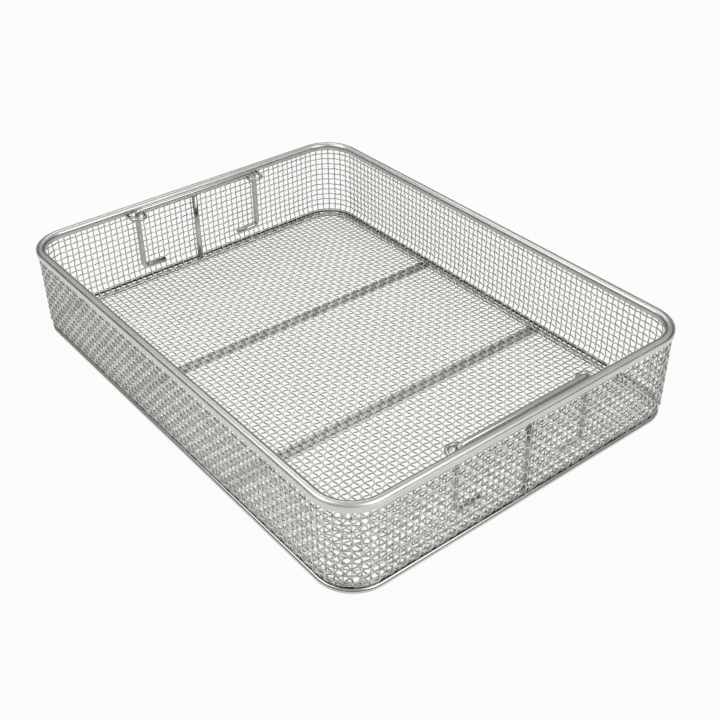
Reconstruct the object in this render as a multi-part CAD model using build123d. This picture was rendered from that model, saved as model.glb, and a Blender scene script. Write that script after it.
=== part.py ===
from build123d import *
import os
from math import cos, pi, sin, sqrt

# Open wire-mesh tray that holds dental instruments while they are washed and sterilised.
# A woven stainless mesh makes the floor and the walls. A slotted tube grips the top edge of
# the walls, and a round rod under their bottom edge borders the floor. Two flat strips cross
# under the floor. On each short side a wire handle slides through two welded eyelets.
#
# Millimetres. Origin: centre of the footprint, on the surface the tray stands on.
# +X runs along the long side, +Y along the short side and +Z up. "left" and "right" are the
# short sides at -X and +X, "front" and "back" the long sides at -Y and +Y.

# ---------------------------------------------------------------- driving dimensions

LENGTH = 400.0  # outside, over the rim
WIDTH = 300.0  # outside, over the rim
HEIGHT = 72.0  # from the surface it stands on to the top of the rim
CORNER_RADIUS = 30.0  # outside of the rim, seen from above

RIM_DIAMETER = 7.0
RIM_LIP = 5.5  # from the top of the rim down to the lower edge of its flat outer side
RIM_SKIN = 0.5  # metal outside the mesh in the rim's slot
ROD_DIAMETER = 4.0

WIRE = 1.0  # width of a mesh wire
PITCH = 5.0  # from one mesh wire to the next
DRAWN_EVERY = 2  # the lattice carries every second wire of the weave
LAYER_GAP = 0.1  # between the two layers of crossing wires
CORNER_CELLS = 8  # openings of the weave round one corner, each of them straight

STRIP_WIDTH = 10.0
STRIP_THICKNESS = 1.5
CROSS_STRIP_SPACING = 128.0  # centre to centre of the two strips across the floor

STIFFENER_DIAMETER = 4.5

HANDLE_DIAMETER = 4.5
HANDLE_SPAN = 113.0  # centre to centre of the two legs
HANDLE_DROP = 51.0  # from the grip bar down to the feet, centre to centre
HANDLE_FOOT = 20.0  # from a leg to the tip of its foot
HANDLE_BEND = 5.0  # centre line of the bends

EYELET_WIRE = 3.0
EYELET_RADIUS = 6.0  # centre line of the half ring
EYELET_REACH = 13.5  # from the centre line of the rim to the tip of the half ring

WELD_GAP = 0.05  # left between a round piece and what it is welded to
SLOT_GAP = 0.2  # on each side of the mesh inside the rim
SLIDE_GAP = 0.3  # left round the sliding handles

SIDES = 12  # flats that stand for the round of a bent tube, rod or wire
EYELET_CHORDS = 6  # straight pieces that stand for the half ring of an eyelet

# ---------------------------------------------------------------- places that follow

STRAIGHT_X = LENGTH - 2 * CORNER_RADIUS
STRAIGHT_Y = WIDTH - 2 * CORNER_RADIUS
MESH_THICKNESS = 2 * WIRE + LAYER_GAP

# centre line of the rim, with the rod straight below it
RIM_X = LENGTH / 2 - RIM_DIAMETER / 2
RIM_Y = WIDTH / 2 - RIM_DIAMETER / 2
RIM_Z = HEIGHT - RIM_DIAMETER / 2
ROD_Z = ROD_DIAMETER / 2

# middle of the mesh walls, which stand in the outer half of the rim
WALL_INSET = RIM_SKIN + SLOT_GAP + MESH_THICKNESS / 2
WALL_X = LENGTH / 2 - WALL_INSET
WALL_Y = WIDTH / 2 - WALL_INSET
WALL_RADIUS = CORNER_RADIUS - WALL_INSET
FLOOR_TOP = STRIP_THICKNESS + MESH_THICKNESS
WALL_BOTTOM = ROD_Z + ROD_DIAMETER / 2 + WELD_GAP
WALL_TOP = RIM_Z
WALL_HEIGHT = WALL_TOP - WALL_BOTTOM

# inner face of the short walls, and what stands against it
WALL_FACE_X = WALL_X - MESH_THICKNESS / 2 - WELD_GAP
STIFFENER_X = WALL_FACE_X - STIFFENER_DIAMETER / 2
HANDLE_X = STIFFENER_X - STIFFENER_DIAMETER / 2 - SLIDE_GAP - HANDLE_DIAMETER / 2
BAR_Z = RIM_Z
EYELET_Z = BAR_Z - HANDLE_DIAMETER / 2 - SLIDE_GAP - EYELET_WIRE / 2
FOOT_Z = BAR_Z - HANDLE_DROP
HANDLE_TRAVEL = EYELET_Z - EYELET_WIRE / 2 - SLIDE_GAP - HANDLE_DIAMETER / 2 - FOOT_Z


# ---------------------------------------------------------------- shared shapes


def between(start, end):
    """Places of the drawn wires that lie between two edge wires, evenly spaced."""
    cells = max(1, round((end - start) / (PITCH * DRAWN_EVERY)))
    return [start + (end - start) * k / cells for k in range(1, cells)]


def rim_outline(inset=0.0):
    """Rounded rectangle along the centre line of the rim and the rod, or inside it by inset."""
    radius = CORNER_RADIUS - RIM_DIAMETER / 2
    return RectangleRounded(2 * (RIM_X - inset), 2 * (RIM_Y - inset), radius - inset)


def swept_round_the_tray(profile, z):
    """Carry a profile along the rim's centre line, its x axis inwards and its y axis up."""
    path = Pos(0, 0, z) * rim_outline().wire()
    start = Plane(origin=path @ 0, z_dir=path % 0, x_dir=Vector(0, 0, 1).cross(path % 0))
    return sweep(start * profile, path=path)


def round_section(diameter):
    """Section of a bent tube, rod or wire, with as few flats as still read as round."""
    return RegularPolygon(diameter / 2, SIDES)


def bar_along_y(diameter, x, z):
    """Long bar along Y, used to cope the end of a piece that is welded to a rim or rod."""
    section = round_section(diameter + 2 * WELD_GAP)
    return Pos(x, 0, z) * extrude(Plane.XZ * section, WIDTH, both=True)


# ---------------------------------------------------------------- mesh


def flat_mesh(length):
    """Straight wall panel: edge wires all round, uprights inside and level wires outside.

    Local x runs along the wall, y outwards through the mesh and z up from its lower edge.
    """
    edge = Rectangle(length, WALL_HEIGHT) - Rectangle(
        length - 2 * WIRE, WALL_HEIGHT - 2 * WIRE
    )
    middle = Pos(0, 0, WALL_HEIGHT / 2)
    frame = middle * extrude(Plane.XZ * edge, MESH_THICKNESS / 2, both=True)
    layer = (WIRE + LAYER_GAP) / 2
    half = length / 2 - WIRE / 2
    wires = [
        Pos(x, -layer, WALL_HEIGHT / 2) * Box(WIRE, WIRE, WALL_HEIGHT - WIRE)
        for x in between(-half, half)
    ]
    wires += [
        Pos(0, layer, z) * Box(length - WIRE, WIRE, WIRE)
        for z in between(WIRE / 2, WALL_HEIGHT - WIRE / 2)
    ]
    return frame + wires


def corner_mesh():
    """Quarter-round wall panel about the Z axis, from the +X axis to the +Y axis."""
    layer = (WIRE + LAYER_GAP) / 2
    quarter = Rectangle(2 * WALL_RADIUS, 2 * WALL_RADIUS, align=Align.MIN)

    def level(radius, width, z):
        """Wire round the corner, straight from each upright of the weave to the next."""
        outer = RegularPolygon(radius + width / 2, 4 * CORNER_CELLS)
        inner = RegularPolygon(radius - width / 2, 4 * CORNER_CELLS)
        return Pos(0, 0, z - WIRE / 2) * extrude((outer - inner) & quarter, WIRE)

    def upright(radius, width, angle):
        height = WALL_HEIGHT - WIRE
        return Rot(0, 0, angle) * Pos(radius, 0, WALL_HEIGHT / 2) * Box(width, WIRE, height)

    edges = [level(WALL_RADIUS, MESH_THICKNESS, z) for z in (WIRE / 2, WALL_HEIGHT - WIRE / 2)]
    post = Pos(WALL_RADIUS, WIRE / 2, WALL_HEIGHT / 2) * Box(MESH_THICKNESS, WIRE, WALL_HEIGHT)
    edges += [post, mirror(post, Plane(origin=(0, 0, 0), z_dir=(1, -1, 0)))]
    uprights = [
        upright(WALL_RADIUS - layer, WIRE, 90 * k / CORNER_CELLS)
        for k in range(DRAWN_EVERY, CORNER_CELLS, DRAWN_EVERY)
    ]
    levels = [
        level(WALL_RADIUS + layer, WIRE, z)
        for z in between(WIRE / 2, WALL_HEIGHT - WIRE / 2)
    ]
    return Part() + edges + uprights + levels


def floor_mesh():
    """Floor panel inside the rod: an edge wire all round, and wires along X under wires along Y."""
    inset = ROD_DIAMETER / 2 + WELD_GAP
    half_x, half_y = RIM_X - inset, RIM_Y - inset
    radius = CORNER_RADIUS - RIM_DIAMETER / 2 - inset
    edge = rim_outline(inset) - rim_outline(inset + WIRE)
    frame = extrude(edge, MESH_THICKNESS)

    def reach(side, other_side, offset):
        """How far a wire at this offset runs before it meets the middle of the edge wire."""
        past = max(0.0, abs(offset) - (other_side - radius))
        bend = radius - WIRE / 2
        return side - radius + sqrt(max(bend**2 - past**2, 0.0))

    low, high = WIRE / 2, MESH_THICKNESS - WIRE / 2
    wires = [
        Pos(0, y, low) * Box(2 * reach(half_x, half_y, y), WIRE, WIRE)
        for y in between(WIRE / 2 - half_y, half_y - WIRE / 2)
    ]
    wires += [
        Pos(x, 0, high) * Box(WIRE, 2 * reach(half_y, half_x, x), WIRE)
        for x in between(WIRE / 2 - half_x, half_x - WIRE / 2)
    ]
    return Pos(0, 0, STRIP_THICKNESS) * (frame + wires)


# ---------------------------------------------------------------- frame


def rim_tube():
    """Round tube with a flat outer side, and a slot underneath that takes the mesh."""
    slot_width = MESH_THICKNESS + 2 * SLOT_GAP
    lip = RIM_LIP - RIM_DIAMETER / 2
    outside = -RIM_DIAMETER / 2
    flank_width = RIM_SKIN + slot_width
    flank = Pos(outside + flank_width / 2, 0) * Rectangle(flank_width, 2 * lip)
    slot_x = outside + RIM_SKIN + slot_width / 2
    slot = Pos(slot_x, WELD_GAP - RIM_DIAMETER / 2) * Rectangle(slot_width, RIM_DIAMETER)
    return swept_round_the_tray(round_section(RIM_DIAMETER) + flank - slot, RIM_Z)


def base_rod():
    """Round rod on which the tray stands, under the edge of the walls and round the floor."""
    return swept_round_the_tray(round_section(ROD_DIAMETER), ROD_Z)


def cross_strip(side):
    """Flat strip under the floor, from the rod on one long side to the rod on the other."""
    span = 2 * (RIM_Y - ROD_DIAMETER / 2 - WELD_GAP)
    x = side * CROSS_STRIP_SPACING / 2
    return Pos(x, 0, STRIP_THICKNESS / 2) * Box(STRIP_WIDTH, span, STRIP_THICKNESS)


def stiffener(side):
    """Upright rod inside the middle of a short wall, saddled under the rim and on the rod."""
    low = FLOOR_TOP + WELD_GAP
    high = RIM_Z - RIM_DIAMETER / 4
    upright = extrude(round_section(STIFFENER_DIAMETER), high - low)
    upright = Pos(side * STIFFENER_X, 0, low) * upright
    upright -= bar_along_y(RIM_DIAMETER, side * RIM_X, RIM_Z)
    upright -= bar_along_y(ROD_DIAMETER, side * RIM_X, ROD_Z)
    return upright


# ---------------------------------------------------------------- handles


def eyelet(side, end):
    """Half ring of wire welded under the rim. A leg of the handle slides through it."""
    centre_x = RIM_X - EYELET_REACH + EYELET_RADIUS
    centre_y = end * HANDLE_SPAN / 2
    turns = [pi * k / EYELET_CHORDS for k in range(EYELET_CHORDS + 1)]
    half_ring = [
        (centre_x - EYELET_RADIUS * sin(a), centre_y - EYELET_RADIUS * cos(a)) for a in turns
    ]
    ends = [(WALL_FACE_X, y) for _, y in (half_ring[0], half_ring[-1])]
    path = Polyline(*((side * x, y, EYELET_Z) for x, y in (ends[0], *half_ring, ends[1])))
    start = Plane(origin=path @ 0, z_dir=path % 0)
    ring = sweep(start * round_section(EYELET_WIRE), path=path, transition=Transition.RIGHT)
    return ring - bar_along_y(RIM_DIAMETER, side * RIM_X, RIM_Z)


def handle(side):
    """Wire handle: grip bar, two legs, and feet turned inwards that stop it at the top."""
    x = side * HANDLE_X
    leg = HANDLE_SPAN / 2
    tip = leg - HANDLE_FOOT
    path = FilletPolyline(
        (x, -tip, FOOT_Z),
        (x, -leg, FOOT_Z),
        (x, -leg, BAR_Z),
        (x, leg, BAR_Z),
        (x, leg, FOOT_Z),
        (x, tip, FOOT_Z),
        radius=HANDLE_BEND,
    )
    start = Plane(origin=path @ 0, z_dir=path % 0)
    return sweep(start * round_section(HANDLE_DIAMETER), path=path)


# ---------------------------------------------------------------- the tray

LEFT, RIGHT = -1, 1
FRONT, BACK = -1, 1

nodes = {
    "rim_tube": rim_tube(),
    "base_rod": base_rod(),
    "floor_mesh": floor_mesh(),
    "cross_strip_left": cross_strip(LEFT),
    "cross_strip_right": cross_strip(RIGHT),
    "stiffener_left": stiffener(LEFT),
    "stiffener_right": stiffener(RIGHT),
    "eyelet_left_front": eyelet(LEFT, FRONT),
    "eyelet_left_back": eyelet(LEFT, BACK),
    "eyelet_right_front": eyelet(RIGHT, FRONT),
    "eyelet_right_back": eyelet(RIGHT, BACK),
    "handle_left": handle(LEFT),
    "handle_right": handle(RIGHT),
}

# each wall panel is made facing +Y at the origin, and is turned to its side of the tray
long_panel, short_panel, corner_panel = flat_mesh(STRAIGHT_X), flat_mesh(STRAIGHT_Y), corner_mesh()
nodes["wall_mesh_back"] = Pos(0, WALL_Y, WALL_BOTTOM) * long_panel
nodes["wall_mesh_front"] = Pos(0, -WALL_Y, WALL_BOTTOM) * Rot(0, 0, 180) * long_panel
nodes["wall_mesh_left"] = Pos(-WALL_X, 0, WALL_BOTTOM) * Rot(0, 0, 90) * short_panel
nodes["wall_mesh_right"] = Pos(WALL_X, 0, WALL_BOTTOM) * Rot(0, 0, -90) * short_panel
corners = {
    "corner_mesh_back_right": (RIGHT, BACK, 0),
    "corner_mesh_back_left": (LEFT, BACK, 90),
    "corner_mesh_front_left": (LEFT, FRONT, 180),
    "corner_mesh_front_right": (RIGHT, FRONT, 270),
}
for name, (side, end, angle) in corners.items():
    place = Pos(side * STRAIGHT_X / 2, end * STRAIGHT_Y / 2, WALL_BOTTOM)
    nodes[name] = place * Rot(0, 0, angle) * corner_panel

os.makedirs("parts", exist_ok=True)
for name, solid in nodes.items():
    solid.label = name
    export_step(solid, f"parts/{name}.step")

print("handle travel", round(HANDLE_TRAVEL, 3), "mm")
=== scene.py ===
import bpy
import numpy as np
from mathutils import Matrix, Vector


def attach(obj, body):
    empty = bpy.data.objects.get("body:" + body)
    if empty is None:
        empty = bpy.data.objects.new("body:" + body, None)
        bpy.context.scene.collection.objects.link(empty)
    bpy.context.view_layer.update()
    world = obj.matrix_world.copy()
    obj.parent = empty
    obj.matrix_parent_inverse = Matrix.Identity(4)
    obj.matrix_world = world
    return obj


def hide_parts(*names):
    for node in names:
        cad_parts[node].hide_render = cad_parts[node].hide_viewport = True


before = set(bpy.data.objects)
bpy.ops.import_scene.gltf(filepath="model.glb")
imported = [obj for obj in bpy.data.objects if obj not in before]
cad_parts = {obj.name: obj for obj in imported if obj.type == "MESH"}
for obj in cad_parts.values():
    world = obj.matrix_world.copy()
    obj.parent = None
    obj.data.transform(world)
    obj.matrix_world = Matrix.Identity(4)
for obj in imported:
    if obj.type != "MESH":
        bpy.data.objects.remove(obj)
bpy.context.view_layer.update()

# Open wire-mesh instrument tray of stainless steel, with a tubular rim, a rod round the
# bottom edge, two flat strips under the woven floor and two drop handles in welded eyelets.
# Sizes are in millimetres here and are turned to metres when a mesh is made.

MM = 0.001
UP = (0.0, 0.0, 1.0)
ALONG_X = (1.0, 0.0, 0.0)

# ---------------------------------------------------------------- sizes

LENGTH = 400.0
WIDTH = 300.0
HEIGHT = 72.0
CORNER_RADIUS = 30.0

# gaps between pieces: welded, crimped into the rim, and sliding
WELD_GAP = 0.05
CRIMP_GAP = 0.2
SLIDE_GAP = 0.3

# rim: a tube with a flat flank outside, closed on the mesh from above
RIM_RADIUS = 3.5
RIM_SKIN = 0.5
RIM_LIP = 2.0
RIM_GROOVE = 0.35
RIM_SHOULDER = 0.1
RIM_CHAMFER = 0.12
SLOT_WIDTH = 2.5

# rod round the bottom edge, a dark line of painted shade above it, and a dark wire inside it
# that stands for painted shadow under the fold
ROD_RADIUS = 2.0
SHADE_LINE_RADIUS = 0.5
SHADE_LINE_LIFT = 0.45
SHADE_WIRE_Z = 1.5
SHADE_WIRE_INSET = 4.4

# woven sheet: one wire every pitch, and a fold where the floor turns up into the walls
WIRE_RADIUS = 0.55
PITCH = 5.0
CORNER_CELLS = 8
MESH_THICKNESS = 2.1
FOLD_RADIUS = 9.0
FLOOR_MARGIN = 1.0
RING_MARGIN = 2.0

STRIP_THICKNESS = 1.5
STIFFENER_RADIUS = 2.25
STIFFENER_INTO_ROD = 1.0
STIFFENER_BELOW_RIM = 2.0

HANDLE_RADIUS = 2.25
HANDLE_SPAN = 113.0
HANDLE_DROP = 51.0
HANDLE_FOOT = 20.0
HANDLE_BEND = 5.0

EYELET_WIRE_RADIUS = 1.5
EYELET_RADIUS = 6.0
EYELET_REACH = 13.5

STRAIGHT_X = LENGTH - 2 * CORNER_RADIUS
STRAIGHT_Y = WIDTH - 2 * CORNER_RADIUS
RIM_X = LENGTH / 2 - RIM_RADIUS
RIM_CORNER = CORNER_RADIUS - RIM_RADIUS
RIM_Z = HEIGHT - RIM_RADIUS
ROD_Z = ROD_RADIUS
SHADE_LINE_Z = 2 * ROD_RADIUS + SHADE_LINE_LIFT
WALL_INSET = RIM_SKIN + CRIMP_GAP + MESH_THICKNESS / 2
WALL_X = LENGTH / 2 - WALL_INSET
WALL_Y = WIDTH / 2 - WALL_INSET
WALL_CORNER = CORNER_RADIUS - WALL_INSET
WALL_TOP = RIM_Z
WALL_FACE_X = WALL_X - MESH_THICKNESS / 2 - WELD_GAP
FLOOR_X = WALL_X - FOLD_RADIUS
FLOOR_Y = WALL_Y - FOLD_RADIUS
FLOOR_CORNER = WALL_CORNER - FOLD_RADIUS
FLOOR_Z = STRIP_THICKNESS + MESH_THICKNESS / 2
STIFFENER_X = WALL_FACE_X - STIFFENER_RADIUS
HANDLE_X = STIFFENER_X - STIFFENER_RADIUS - SLIDE_GAP - HANDLE_RADIUS
EYELET_Z = RIM_Z - HANDLE_RADIUS - SLIDE_GAP - EYELET_WIRE_RADIUS
FOOT_Z = RIM_Z - HANDLE_DROP

# corners of the tray, counter-clockwise seen from above, and which way the side that leads
# to each of them faces
CORNERS = ((1, 1), (-1, 1), (-1, -1), (1, -1))
SIDE_WAYS = ((1, 0), (0, 1), (-1, 0), (0, -1))

# how finely round shapes are divided
RIM_STEP = 8.0
SHADE_LINE_STEP = 4.0
TURN_STEPS = 16
TUBE_SIDES = 20
EYELET_SIDES = 16
SHADE_LINE_SIDES = 8
WIRE_SIDES = 6
STEPS_PER_PITCH = 3
# two unit directions whose product is above this are taken as parallel
NEARLY_ONE = 0.9999


def put(name, data):
    """Puts an object of this data in the scene, at the origin and unturned."""
    item = bpy.data.objects.new(name, data)
    bpy.context.scene.collection.objects.link(item)
    return item


# ---------------------------------------------------------------- camera

CAMERA_PLACE = (551.327, -412.673, 491.031)
CAMERA_RIGHT = (0.624152, 0.781223, -0.011174)
CAMERA_UP = (-0.447581, 0.369241, 0.814452)
FOCAL_PIXELS = 1117.04
FRAME_PIXELS = 720.0
SENSOR_MM = 36.0

right, up = Vector(CAMERA_RIGHT).normalized(), Vector(CAMERA_UP).normalized()
camera = put("camera", bpy.data.cameras.new("camera"))
camera.matrix_world = Matrix.Translation(Vector(CAMERA_PLACE) * MM) @ Matrix(
    (right, up, right.cross(up))).transposed().to_4x4()
camera.data.sensor_width = SENSOR_MM
camera.data.lens = SENSOR_MM * FOCAL_PIXELS / FRAME_PIXELS
camera.data.clip_start = 0.01
camera.data.clip_end = 20.0
bpy.context.scene.camera = camera

# ---------------------------------------------------------------- materials

# noise lies mostly between these two values, which get the dark and the light colour, and
# the smoothest and the roughest gloss
NOISE_LOW, NOISE_HIGH = 0.3, 0.7
# wide soft patches over the grain, and their share of the look
PATCH_MM = 26.0
PATCH_SHARE = 0.4


def linear(code):
    """sRGB hex colour as linear RGBA: each channel by the sRGB curve, alpha 1."""
    v = np.array([int(code[i:i + 2], 16) for i in (1, 3, 5)]) / 255.0
    v = np.where(v <= 0.04045, v / 12.92, ((v + 0.055) / 1.055) ** 2.4)
    return (*v, 1.0)


def add(tree, kind, settings=None, links=None, **sockets):
    """Adds one node. settings go on the node, sockets on its inputs, links join its inputs.

    A socket is named with _ for a space, or i and its number."""
    node = tree.nodes.new(kind)
    for key, value in (settings or {}).items():
        setattr(node, key, value)
    for key, value in sockets.items():
        numbered = key[0] == "i" and key[1:].isdigit()
        socket = int(key[1:]) if numbered else key.replace("_", " ")
        node.inputs[socket].default_value = value
    for key, output in (links or {}).items():
        tree.links.new(output, node.inputs[key])
    return node


def add_ramp(tree, value, stops):
    """Adds a colour ramp over a value: stops are (position, sRGB hex colour), rising."""
    node = add(tree, "ShaderNodeValToRGB", links={"Fac": value})
    elements = node.color_ramp.elements
    while len(elements) < len(stops):
        elements.new(0.5)
    for element, (position, code) in zip(elements, stops):
        element.position = position
        element.color = linear(code)
    return node.outputs["Color"]


def new_material(name):
    """An empty node tree with its output node."""
    material = bpy.data.materials.new(name)
    material.use_nodes = True
    material.node_tree.nodes.clear()
    out = material.node_tree.nodes.new("ShaderNodeOutputMaterial")
    return material, material.node_tree, out


def stainless(name, light, dark, rough, grain_mm, stretch, bump_mm):
    """Stainless steel: metallic, with a drawn or brushed grain that changes colour and gloss.

    grain_mm is the width of a streak and stretch how many times longer than wide it is, along
    each axis."""
    material, tree, out = new_material(name)
    place = add(tree, "ShaderNodeTexCoord")
    turned = add(tree, "ShaderNodeMapping", links={"Vector": place.outputs["Object"]},
                 Scale=[1.0 / s for s in stretch])
    grain = add(tree, "ShaderNodeTexNoise", links={"Vector": turned.outputs["Vector"]},
                Scale=1.0 / (grain_mm * MM), Detail=3.0, Roughness=0.6)
    patches = add(tree, "ShaderNodeTexNoise", links={"Vector": place.outputs["Object"]},
                  Scale=1.0 / (PATCH_MM * MM), Detail=2.0, Roughness=0.5)
    both = add(tree, "ShaderNodeMix", {"data_type": "FLOAT"},
               {"A": grain.outputs["Fac"], "B": patches.outputs["Fac"]}, Factor=PATCH_SHARE)
    tint = add_ramp(tree, both.outputs["Result"], [(NOISE_LOW, dark), (NOISE_HIGH, light)])
    gloss = add(tree, "ShaderNodeMapRange", links={"Value": both.outputs["Result"]},
                From_Min=NOISE_LOW, From_Max=NOISE_HIGH, To_Min=rough[0], To_Max=rough[1])
    bump = add(tree, "ShaderNodeBump", links={"Height": grain.outputs["Fac"]},
               Strength=0.3, Distance=bump_mm * MM)
    shader = add(tree, "ShaderNodeBsdfPrincipled",
                 links={"Base Color": tint, "Roughness": gloss.outputs["Result"],
                        "Normal": bump.outputs["Normal"]}, Metallic=1.0)
    tree.links.new(shader.outputs["BSDF"], out.inputs["Surface"])
    return material


def painted_shade_material(name, shade_colour, metal, rough, spacing_mm):
    """Painted shade: a near-black colour standing for shade, which lets bare metal through in
    spots, one every spacing.
    """
    material, tree, out = new_material(name)
    place = add(tree, "ShaderNodeTexCoord")
    spots = add(tree, "ShaderNodeTexNoise", links={"Vector": place.outputs["Object"]},
                Scale=1.0 / (spacing_mm * MM), Detail=2.0, Roughness=0.5)
    bare = add(tree, "ShaderNodeMapRange", links={"Value": spots.outputs["Fac"]},
               From_Min=0.5, From_Max=0.62, To_Min=0.0, To_Max=1.0)
    # inputs 6 and 7 and output 2 of this node are its colours
    tint = add(tree, "ShaderNodeMix", {"data_type": "RGBA"}, {0: bare.outputs["Result"]},
               i6=linear(shade_colour), i7=linear(metal))
    shader = add(tree, "ShaderNodeBsdfPrincipled",
                 links={"Base Color": tint.outputs[2], "Metallic": bare.outputs["Result"]},
                 Roughness=rough)
    tree.links.new(shader.outputs["BSDF"], out.inputs["Surface"])
    return material


# satin-polished 304 tube: a soft bright ridge along the top and fine streaks along the tube
POLISHED_TUBE = stainless("polished_stainless_tube", "#e3e2dd", "#d0cfca", (0.27, 0.36),
                          0.5, (6, 6, 1), 0.02)
# drawn and electropolished 304 wire: sharper light and dark lines than the tube
DRAWN_WIRE = stainless("electropolished_stainless_wire", "#dbdad5", "#c3c1bb", (0.12, 0.2),
                       0.4, (4, 4, 4), 0.02)
# woven 304 wire: the smoothest, so each bend shows one light and one dark side, with small
# changes of tone from wire to wire
WOVEN_WIRE = stainless("woven_stainless_wire", "#dfded8", "#c0bfb8", (0.07, 0.13),
                       0.9, (1, 1, 1), 0.01)
# sheared flat strip with a satin face: a broad even sheen with no clear reflection
BRUSHED_STRIP = stainless("brushed_stainless_strip", "#f0efec", "#d8d7d3", (0.3, 0.45),
                          0.35, (14, 14, 1), 0.03)
# painted shade: a black broken line just above the rod, standing for the shade in the crevice
# between the rod and the mesh
PAINTED_SHADE_LINE = painted_shade_material("painted_shade_line", "#2b2825", "#a8a6a2", 0.5, 6.0)

# ---------------------------------------------------------------- mesh makers


def make_piece(name, points, faces, material, body, slot, nodes):
    """Turns an array of points in millimetres and its faces into a smooth piece on a body."""
    mesh = bpy.data.meshes.new(name)
    mesh.from_pydata((points * MM).tolist(), [], faces)
    mesh.polygons.foreach_set("use_smooth", np.ones(len(mesh.polygons), bool))
    mesh.materials.append(material)
    mesh.update()
    piece = put(name, mesh)
    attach(piece, body)
    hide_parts(*nodes)
    return piece


def carried(path, profile, closed, reference):
    """Profile carried along a path: point = path + p * side + q * lift for each (p, q).

    side is the reference direction with its part along the path taken out, and lift stands
    square to both. The profile turns from side to lift, and then the faces point outwards."""
    path = np.asarray(path, float)
    if closed:
        run = np.roll(path, -1, 0) - np.roll(path, 1, 0)
    else:
        run = np.gradient(path, axis=0)
    run /= np.linalg.norm(run, axis=1)[:, None]
    reference = np.broadcast_to(np.asarray(reference, float), path.shape)
    side = reference - (reference * run).sum(1)[:, None] * run
    side /= np.linalg.norm(side, axis=1)[:, None]
    lift = np.cross(run, side)
    rings = (path[:, None] + profile[None, :, :1] * side[:, None]
             + profile[None, :, 1:] * lift[:, None])
    count, sides = len(path), len(profile)
    i, j = np.meshgrid(np.arange(count if closed else count - 1), np.arange(sides),
                       indexing="ij")
    i, j = i.ravel(), j.ravel()
    ni, nj = (i + 1) % count, (j + 1) % sides
    faces = np.stack([i * sides + j, i * sides + nj, ni * sides + nj, ni * sides + j], 1)
    faces = faces.tolist()
    if not closed:
        faces += [list(range(sides))[::-1],
                  list(range((count - 1) * sides, count * sides))]
    return rings.reshape(-1, 3), faces


def tube(path, radius, sides, closed, reference):
    """Round tube: the profile is radius * (cos a, sin a) at equal steps of a."""
    angle = np.arange(sides) * 2 * np.pi / sides
    circle = radius * np.column_stack([np.cos(angle), np.sin(angle)])
    return carried(path, circle, closed, reference)


def wire(path, closed, reference):
    """One wire of the weave along a path."""
    return tube(path, WIRE_RADIUS, WIRE_SIDES, closed, reference)


def join(parts):
    """Puts several (points, faces) pairs in one."""
    points, faces, start = [], [], 0
    for p, f in parts:
        points.append(p)
        faces += [[k + start for k in face] for face in f]
        start += len(p)
    return np.concatenate(points), faces


def rim_path(step, z, inset=0.0):
    """Closed path along the middle of the rim: four straight runs and four quarter circles.

    Counter-clockwise seen from above, starting at the front of the right side. A quarter
    circle has TURN_STEPS equal steps, and a straight run equal steps near to the given one.
    An inset moves the whole path towards the middle of the tray."""
    turns = []
    for k, (sx, sy) in enumerate(CORNERS):
        a = np.radians(90 * k + np.linspace(0, 90, TURN_STEPS + 1))
        turns.append(np.column_stack([sx * STRAIGHT_X / 2 + (RIM_CORNER - inset) * np.cos(a),
                                      sy * STRAIGHT_Y / 2 + (RIM_CORNER - inset) * np.sin(a)]))
    path = []
    for k, turn in enumerate(turns):
        start, end = turns[k - 1][-1], turn[0]
        n = max(1, int(round(np.linalg.norm(end - start) / step)))
        t = np.arange(1, n)[:, None] / n
        path += [start + (end - start) * t, turn]
    path = np.concatenate(path)
    return np.column_stack([path, np.full(len(path), z)])


def rounded(corners, radius, steps=8):
    """Open path through the corners, each inner one turned on an arc of the radius.

    Each point of an arc is (sin((1 - s) * turn) * p + sin(s * turn) * q) / sin(turn) from its
    middle, where p and q are the ways to the two ends and s runs from 0 to 1."""
    corners = [np.asarray(c, float) for c in corners]
    path = [corners[0]]
    for a, b, c in zip(corners[:-2], corners[1:-1], corners[2:]):
        u, v = (a - b) / np.linalg.norm(a - b), (c - b) / np.linalg.norm(c - b)
        half = np.arccos(np.clip(u @ v, -1, 1)) / 2
        middle = b + (u + v) / np.linalg.norm(u + v) * radius / np.sin(half)
        p = b + u * radius / np.tan(half) - middle
        q = b + v * radius / np.tan(half) - middle
        turn = np.pi - 2 * half
        s = np.linspace(0, 1, steps + 1)[:, None]
        path += [*(middle + (np.sin((1 - s) * turn) * p + np.sin(s * turn) * q)
                   / np.sin(turn))]
    path.append(corners[-1])
    return np.array(path)


# ---------------------------------------------------------------- rim and rod


def rim_profile():
    """Section of the rim as (up, outwards): a circle, a flat flank outside and a slot below.

    The last value of each row says whether the section has a sharp corner there."""
    r, lip, chamfer = RIM_RADIUS, RIM_LIP, RIM_CHAMFER
    inner = r - RIM_SKIN
    inside = inner - SLOT_WIDTH
    # 12 points from the top to the flank, and 31 from the slot round the inside to the top
    top = np.linspace(0, np.arcsin((inner - RIM_SHOULDER) / r), 12)
    under = np.linspace(np.pi / 2 + np.arccos(inside / r), 2 * np.pi, 32)[:-1]
    over, below = (np.column_stack([r * np.cos(a), r * np.sin(a), np.zeros(len(a))])
                   for a in (top, under))
    over[-1, 2] = below[0, 2] = 1
    flank = [(lip - RIM_GROOVE, inner, 1), (lip, inner + chamfer, 1), (lip, r - chamfer, 1),
             (lip - chamfer, r, 1), (chamfer - lip, r, 1), (-lip, r - chamfer, 1),
             (-lip, inner, 1), (WELD_GAP, inner, 1), (WELD_GAP, inside, 1)]
    return np.concatenate([over, flank, below])


def mark_sharp(piece, sides, corners):
    """Marks the lengthwise edges at the corners of a carried profile as sharp."""
    edges = piece.data.edges
    ends = np.empty(2 * len(edges), int)
    edges.foreach_get("vertices", ends)
    ends = ends.reshape(-1, 2) % sides
    sharp = (ends[:, 0] == ends[:, 1]) & corners[ends[:, 0]]
    edges.foreach_set("use_edge_sharp", sharp)


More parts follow.
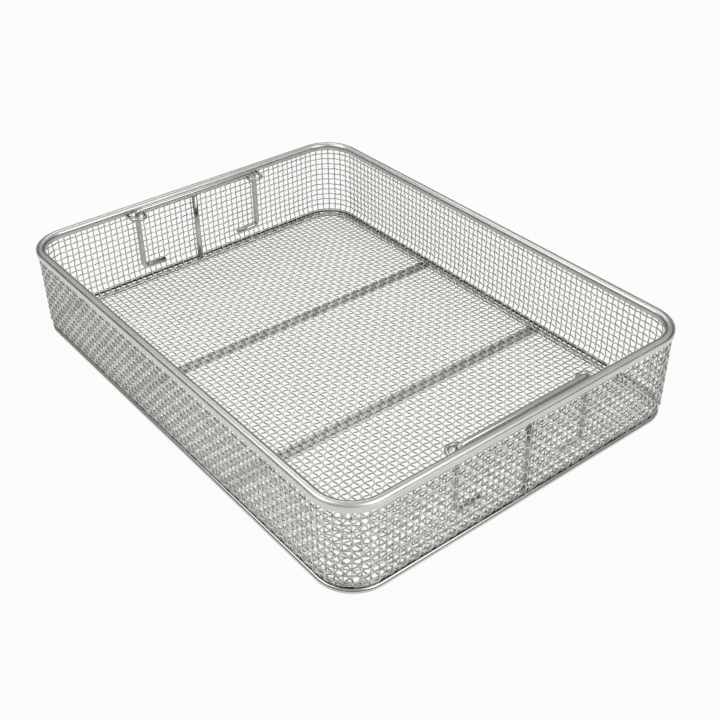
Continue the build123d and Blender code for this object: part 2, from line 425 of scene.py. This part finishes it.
section = rim_profile()
rim = make_piece("rim_tube_round",
                 *carried(rim_path(RIM_STEP, RIM_Z), section[:, :2], True, UP),
                 POLISHED_TUBE, "basket", "rim_steel", ["rim_tube"])
mark_sharp(rim, len(section), section[:, 2] > 0.5)
make_piece("base_rod_round",
           *tube(rim_path(RIM_STEP, ROD_Z), ROD_RADIUS, TUBE_SIDES, True, UP),
           DRAWN_WIRE, "basket", "wire_steel", ["base_rod"])
# a thin near-black tube just above the rod: painted shade for the crevice between the rod and
# the mesh
make_piece("base_rod_shade_line",
           *tube(rim_path(SHADE_LINE_STEP, SHADE_LINE_Z), SHADE_LINE_RADIUS, SHADE_LINE_SIDES, True, UP),
           PAINTED_SHADE_LINE, "basket", "wire_steel", ["base_rod"])

# ---------------------------------------------------------------- handles, eyelets, stiffeners

for side, sign in (("left", -1), ("right", 1)):
    # a flat C of wire: foot, leg, bar, leg, foot
    x = sign * HANDLE_X
    leg, tip = HANDLE_SPAN / 2, HANDLE_SPAN / 2 - HANDLE_FOOT
    bend = rounded([(x, -tip, FOOT_Z), (x, -leg, FOOT_Z), (x, -leg, RIM_Z),
                    (x, leg, RIM_Z), (x, leg, FOOT_Z), (x, tip, FOOT_Z)], HANDLE_BEND)
    make_piece(f"handle_{side}_wire",
               *tube(bend, HANDLE_RADIUS, TUBE_SIDES, False, ALONG_X),
               DRAWN_WIRE, f"{side}_handle", "wire_steel", [f"handle_{side}"])
    # two eyelets: each a half circle round the leg with straight ends to the wall
    for end, way in (("front", -1), ("back", 1)):
        y = way * HANDLE_SPAN / 2
        middle_x = sign * (RIM_X - EYELET_REACH + EYELET_RADIUS)
        wall_x = sign * WALL_FACE_X
        a = np.radians(np.linspace(90, 270, TURN_STEPS + 1))
        half_ring = np.stack([middle_x + sign * EYELET_RADIUS * np.cos(a),
                              y + EYELET_RADIUS * np.sin(a), np.full(len(a), EYELET_Z)], 1)
        loop = np.concatenate([[(wall_x, y + EYELET_RADIUS, EYELET_Z)], half_ring,
                               [(wall_x, y - EYELET_RADIUS, EYELET_Z)]])
        make_piece(f"eyelet_{side}_{end}_wire",
                   *tube(loop, EYELET_WIRE_RADIUS, EYELET_SIDES, False, UP),
                   DRAWN_WIRE, "basket", "wire_steel", [f"eyelet_{side}_{end}"])
    post = [(sign * STIFFENER_X, 0, ROD_Z + STIFFENER_INTO_ROD),
            (sign * STIFFENER_X, 0, RIM_Z - STIFFENER_BELOW_RIM)]
    make_piece(f"stiffener_{side}_rod",
               *tube(post, STIFFENER_RADIUS, TUBE_SIDES, False, ALONG_X),
               DRAWN_WIRE, "basket", "wire_steel", [f"stiffener_{side}"])

# ---------------------------------------------------------------- woven floor


def crimped(start, end, lift, first):
    """Straight wire bent over and under: offset = radius * sin(pi * distance / pitch).

    distance is from the middle of the wire, so that the waves peak at half pitches; first is
    +1 or -1, the side of the first peak past the middle."""
    start, end = np.asarray(start, float), np.asarray(end, float)
    length = np.linalg.norm(end - start)
    n = max(2, int(round(length / PITCH * STEPS_PER_PITCH)))
    t = np.linspace(0, length, n + 1)
    wave = first * WIRE_RADIUS * np.sin(np.pi * (t - length / 2) / PITCH)
    return (start + (end - start) / length * t[:, None]
            + wave[:, None] * np.asarray(lift, float))


def places(half):
    """Numbers of the wires of the weave, which lie at number + 1/2 pitches from the middle."""
    n = int(half / PITCH + 0.5)
    return np.arange(-n, n)


def floor_end(across, half_along, half_across):
    """Half length of a floor wire at a distance across, cut short by the rounded corner."""
    over = np.maximum(0, abs(across) - (half_across - FLOOR_CORNER))
    return half_along - FLOOR_CORNER + np.sqrt(np.maximum(0, FLOOR_CORNER ** 2 - over ** 2))


along, across = [], []
for k in places(FLOOR_Y - FLOOR_MARGIN):
    y = (k + 0.5) * PITCH
    end = floor_end(y, FLOOR_X, FLOOR_Y)
    along.append(wire(crimped((-end, y, FLOOR_Z), (end, y, FLOOR_Z), UP, (-1.0) ** k),
                      False, UP))
for k in places(FLOOR_X - FLOOR_MARGIN):
    x = (k + 0.5) * PITCH
    end = floor_end(x, FLOOR_Y, FLOOR_X)
    across.append(wire(crimped((x, -end, FLOOR_Z), (x, end, FLOOR_Z), UP, -(-1.0) ** k),
                       False, UP))
make_piece("floor_wires_along", *join(along), WOVEN_WIRE, "basket", "mesh_steel",
           ["floor_mesh"])
make_piece("floor_wires_across", *join(across), WOVEN_WIRE, "basket", "mesh_steel",
           ["floor_mesh"])

# thin near-black wire under the fold, in the painted shade colour: it stands for the shadow on
# the table below the rod and the fold
shade_wire_path = rim_path(SHADE_LINE_STEP, SHADE_WIRE_Z, SHADE_WIRE_INSET)
make_piece("floor_shade_wire", *tube(shade_wire_path, SHADE_LINE_RADIUS, SHADE_LINE_SIDES, True, UP),
           PAINTED_SHADE_LINE, "basket", "mesh_steel", ["floor_mesh"])

# ---------------------------------------------------------------- woven walls

# CAD nodes that the wires round the walls and the wires up the walls stand for
WALL_NODES = ["wall_mesh_front", "wall_mesh_back", "wall_mesh_left", "wall_mesh_right",
              "corner_mesh_front_left", "corner_mesh_front_right",
              "corner_mesh_back_left", "corner_mesh_back_right"]
FOLD_LENGTH = FOLD_RADIUS * np.pi / 2
SHEET_TOP = FOLD_LENGTH + WALL_TOP - FLOOR_Z - FOLD_RADIUS
# past the end of the flat floor the rings keep to the places of the floor wires
FIRST_RING = (PITCH / 2 - FLOOR_X) % PITCH


def stations():
    """Places of the upright wires, as rows of x, y and the two parts of the outward way.

    Counter-clockwise: along each side one wire in the middle of every pitch, and then
    CORNER_CELLS wires at equal angles round the corner that ends it."""
    rows = []
    for k, (corner, out) in enumerate(zip(CORNERS, SIDE_WAYS)):
        out = np.array(out, float)
        centre = np.array(corner) * (STRAIGHT_X / 2, STRAIGHT_Y / 2)
        straight = STRAIGHT_X if out[0] == 0 else STRAIGHT_Y
        s = (np.arange(int(straight / PITCH)) + 0.5) * PITCH - straight
        side = centre + WALL_CORNER * out + s[:, None] * np.array([-out[1], out[0]])
        a = np.radians(90 * k + (np.arange(CORNER_CELLS) + 0.5) * 90 / CORNER_CELLS)
        turn = np.column_stack([np.cos(a), np.sin(a)])
        rows += [np.column_stack([side, np.broadcast_to(out, side.shape)]),
                 np.column_stack([centre + WALL_CORNER * turn, turn])]
    return np.concatenate(rows)


def sheet(u):
    """Where the woven sheet is at a distance u up from the end of the flat floor.

    It turns up on an arc of the fold radius and then climbs straight. Gives the distance in
    from the wall, the height and the two parts of the way into the tray: in and up."""
    turn = np.minimum(u / FOLD_RADIUS, np.pi / 2)
    inset = FOLD_RADIUS * (1 - np.sin(turn))
    height = FLOOR_Z + FOLD_RADIUS * (1 - np.cos(turn)) + np.maximum(0, u - FOLD_LENGTH)
    return inset, height, np.sin(turn), np.cos(turn)


def ring_path(uprights, u, first):
    """Path of a wire round the walls that swings in and out past one upright at a time.

    offset = radius * cos(pi * number of the upright), and at the corners the straight lines
    between uprights bulge by 4 * t * (1 - t) of the height of the wall's arc over them."""
    inset, z, inwards, upwards = sheet(u)
    n = len(uprights)
    s = np.arange(n * STEPS_PER_PITCH) / STEPS_PER_PITCH
    k = np.floor(s).astype(int)
    t = (s - k)[:, None]
    a, b = uprights[k % n], uprights[(k + 1) % n]
    p = a[:, :2] * (1 - t) + b[:, :2] * t
    out = a[:, 2:] * (1 - t) + b[:, 2:] * t
    out /= np.linalg.norm(out, axis=1)[:, None]
    arc_height = WALL_CORNER * (1 - np.cos(np.pi / 4 / CORNER_CELLS))
    on_corner = (a[:, 2:] * b[:, 2:]).sum(1)[:, None] < NEARLY_ONE
    wave = -first * WIRE_RADIUS * np.cos(np.pi * s)
    p = p + out * arc_height * 4 * t * (1 - t) * on_corner
    p = p - out * (inset + inwards * wave)[:, None]
    return np.column_stack([p, z + upwards * wave])


uprights = stations()
levels = np.arange(FIRST_RING, SHEET_TOP - RING_MARGIN, PITCH)
rings = [wire(ring_path(uprights, u, (-1) ** k), True, UP) for k, u in enumerate(levels)]
climb = np.linspace(0, SHEET_TOP, int(round(SHEET_TOP / PITCH * STEPS_PER_PITCH)) + 1)
inset, z, inwards, upwards = sheet(climb)
posts = []
for k, (x, y, out_x, out_y) in enumerate(uprights):
    wave = (-1) ** k * WIRE_RADIUS * np.cos(np.pi * (climb - levels[0]) / PITCH)
    far = inset + inwards * wave
    path = np.column_stack([x - out_x * far, y - out_y * far, z + upwards * wave])
    posts.append(wire(path, False, (-out_y, out_x, 0)))
make_piece("wall_wires_around", *join(rings), WOVEN_WIRE, "basket", "mesh_steel", WALL_NODES)
make_piece("wall_wires_upright", *join(posts), WOVEN_WIRE, "basket", "mesh_steel",
           WALL_NODES)

# ---------------------------------------------------------------- strips under the floor

for node in ("cross_strip_left", "cross_strip_right"):
    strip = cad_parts[node]
    if strip.data.materials:
        strip.data.materials[0] = BRUSHED_STRIP
    else:
        strip.data.materials.append(BRUSHED_STRIP)

# ---------------------------------------------------------------- floor and world

FLOOR_HALF = 4000.0
# how much of the floor's and the world's plain white each kind of ray meets
FLOOR_SEEN, FLOOR_MIRRORED = 0.95, 0.8
WORLD_SEEN, WORLD_MIRRORED = 1.0, 0.06


def white_share(tree, seen, mirrored):
    """Share of plain white: seen for the camera, mirrored for metal and glass, 0 for light."""
    ray = add(tree, "ShaderNodeLightPath")
    bounced = add(tree, "ShaderNodeMath", {"operation": "MAXIMUM"},
                  {0: ray.outputs["Is Glossy Ray"], 1: ray.outputs["Is Transmission Ray"]})
    dimmed = add(tree, "ShaderNodeMath", {"operation": "MULTIPLY"}, {0: bounced.outputs[0]},
                 i1=mirrored)
    share = add(tree, "ShaderNodeMath", {"operation": "MULTIPLY_ADD"},
                {0: ray.outputs["Is Camera Ray"], 2: dimmed.outputs[0]}, i1=seen)
    return share.outputs[0]


corners = [(sx * FLOOR_HALF * MM, sy * FLOOR_HALF * MM, 0.0)
           for sx, sy in ((-1, -1), (1, -1), (1, 1), (-1, 1))]
floor_mesh = bpy.data.meshes.new("studio_floor")
floor_mesh.from_pydata(corners, [], [(0, 1, 2, 3)])
studio_floor = put("studio_floor", floor_mesh)

# white paper floor: plain white to the camera with the tray's faint shadow, and a little
# greyer in the metal, as in a room where only the paper near the tray is lit
paper, tree, out = new_material("white_studio_floor")
matt = add(tree, "ShaderNodeBsdfDiffuse", Color=linear("#c4c4c6"))
glow = add(tree, "ShaderNodeEmission", Color=linear("#ffffff"), Strength=1.0)
mix = add(tree, "ShaderNodeMixShader",
          links={0: white_share(tree, FLOOR_SEEN, FLOOR_MIRRORED),
                 1: matt.outputs[0], 2: glow.outputs[0]})
tree.links.new(mix.outputs[0], out.inputs["Surface"])
floor_mesh.materials.append(paper)

# world: white where the camera sees it; as light, pale overhead and dark towards the sides
world = bpy.data.worlds.new("studio")
bpy.context.scene.world = world
world.use_nodes = True
tree = world.node_tree
tree.nodes.clear()
place = add(tree, "ShaderNodeTexCoord")
height = add(tree, "ShaderNodeSeparateXYZ", links={0: place.outputs["Generated"]})
sky = add_ramp(tree, height.outputs["Z"],
               [(0.34, "#1c1c1e"), (0.5, "#bebec0"), (0.95, "#bebec0")])
light = add(tree, "ShaderNodeBackground", links={"Color": sky}, Strength=1.0)
white = add(tree, "ShaderNodeBackground", Color=linear("#fdfdff"), Strength=1.0)
mix = add(tree, "ShaderNodeMixShader",
          links={0: white_share(tree, WORLD_SEEN, WORLD_MIRRORED),
                 1: light.outputs[0], 2: white.outputs[0]})
add(tree, "ShaderNodeOutputWorld", links={"Surface": mix.outputs[0]})

# ---------------------------------------------------------------- lamps

LAMP_AIM = (0, 0, 30)


def lamp(name, place, size, power):
    """Square area lamp of a size in millimetres at a place, turned to the tray."""
    data = bpy.data.lights.new(name, "AREA")
    data.size = size * MM
    data.energy = power
    place = Vector(place) * MM
    away = place - Vector(LAMP_AIM) * MM
    put(name, data).matrix_world = (
        Matrix.Translation(place) @ away.to_track_quat("Z", "Y").to_matrix().to_4x4())


# two large soft boxes, each reflected in one side of the bends of the wires, and a small one
# that draws a bright ridge along the rim
lamp("soft_box_left", (-480, -750, 1235), 1000, 4.7)
lamp("soft_box_right", (975, 280, 1125), 1000, 5)
lamp("soft_box_top", (-830, 440, 1200), 480, 1.1)

bpy.context.scene.view_settings.view_transform = "Standard"
